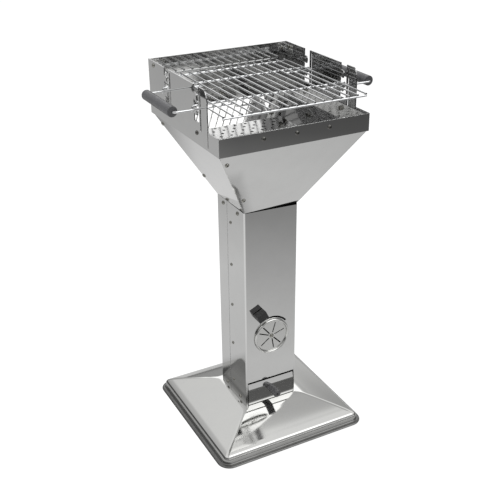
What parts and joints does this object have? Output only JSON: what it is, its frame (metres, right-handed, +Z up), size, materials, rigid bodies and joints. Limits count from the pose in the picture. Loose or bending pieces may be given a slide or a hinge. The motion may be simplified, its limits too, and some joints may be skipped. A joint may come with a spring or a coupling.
{
  "type": "pedestal charcoal barbecue",
  "caption": "Free-standing stainless charcoal barbecue: toothed box with lift-off grid on a folded funnel, square column with vent disc and ash drawer, flared pan base.",
  "frame": {"origin": "centre of the bounding box at the ground, under the column's middle", "axes": "+X to the right along the front, +Y to the back, +Z up"},
  "size_m": [0.526, 0.424, 0.95],
  "materials": {
    "polished_steel": "bright rolled stainless sheet, close to a mirror",
    "grate_steel": "bright stainless plate, punched",
    "fastener_steel": "stainless button-head fasteners",
    "chromed_wire": "chromed steel wire and rod",
    "grip_moulding": "matt black moulding",
    "vent_moulding": "black moulding",
    "graphite_metal": "dark graphite paint on turned metal"
  },
  "bodies": {
    "stand": {"base_pan": "polished_steel", "column_foot": "polished_steel", "hold_bolts": "fastener_steel", "hold_nuts": "fastener_steel", "foot_bolts": "fastener_steel", "foot_nuts": "fastener_steel", "column_front_channel": "polished_steel", "column_rear_channel": "polished_steel", "seam_screws": "fastener_steel", "neck_collar": "polished_steel", "collar_bolts": "fastener_steel", "collar_nuts": "fastener_steel", "funnel_front": "polished_steel", "funnel_right": "polished_steel", "funnel_rear": "polished_steel", "funnel_left": "polished_steel", "funnel_bolts": "fastener_steel", "funnel_nuts": "fastener_steel", "front_band": "polished_steel", "side_panel_left": "polished_steel", "side_panel_right": "polished_steel", "rear_panel": "polished_steel", "corner_clips": "polished_steel", "corner_rivets": "fastener_steel", "band_bolts": "fastener_steel", "band_nuts": "fastener_steel", "vent_rivet": "fastener_steel", "drawer_runner_left": "polished_steel", "drawer_runner_right": "polished_steel"},
    "grid": {"cooking_grid": "chromed_wire", "handle_rod_left": "chromed_wire", "handle_rod_right": "chromed_wire"},
    "left_grip": {"grip_left": "grip_moulding"},
    "right_grip": {"grip_right": "grip_moulding"},
    "front_bar": {"support_bar_front": "chromed_wire"},
    "rear_bar": {"support_bar_rear": "chromed_wire"},
    "vent": {"vent_disc": "polished_steel", "vent_grip": "vent_moulding"},
    "drawer": {"ash_drawer": "polished_steel", "drawer_knob": "graphite_metal", "knob_screw": "fastener_steel"},
    "grate": {"fire_grate": "grate_steel"}
  },
  "joints": [
    {"name": "grid_lift", "type": "slide", "parent": "stand", "child": "grid", "axis": [0, 0, 1], "range_m": [0, 0.036]},
    {"name": "left_grip_turn", "type": "hinge", "parent": "grid", "child": "left_grip", "pos_m": [-0.251, -0.0205, 0.9039], "axis": [0, 1, 0], "continuous": true},
    {"name": "right_grip_turn", "type": "hinge", "parent": "grid", "child": "right_grip", "pos_m": [0.251, -0.0205, 0.9039], "axis": [0, 1, 0], "continuous": true},
    {"name": "front_bar_slide", "type": "slide", "parent": "stand", "child": "front_bar", "axis": [0, -1, 0], "range_m": [0, 0.013]},
    {"name": "rear_bar_slide", "type": "slide", "parent": "stand", "child": "rear_bar", "axis": [0, -1, 0], "range_m": [0, 0.013]},
    {"name": "vent_turn", "type": "hinge", "parent": "stand", "child": "vent", "pos_m": [0.001, -0.0735, 0.262], "axis": [0, -1, 0], "range_deg": [-74, 0]},
    {"name": "drawer_slide", "type": "slide", "parent": "stand", "child": "drawer", "axis": [0, -1, 0], "range_m": [0, 0.12]},
    {"name": "grate_lift", "type": "slide", "parent": "stand", "child": "grate", "axis": [0, 0, 1], "range_m": [0, 0.06]}
  ]
}
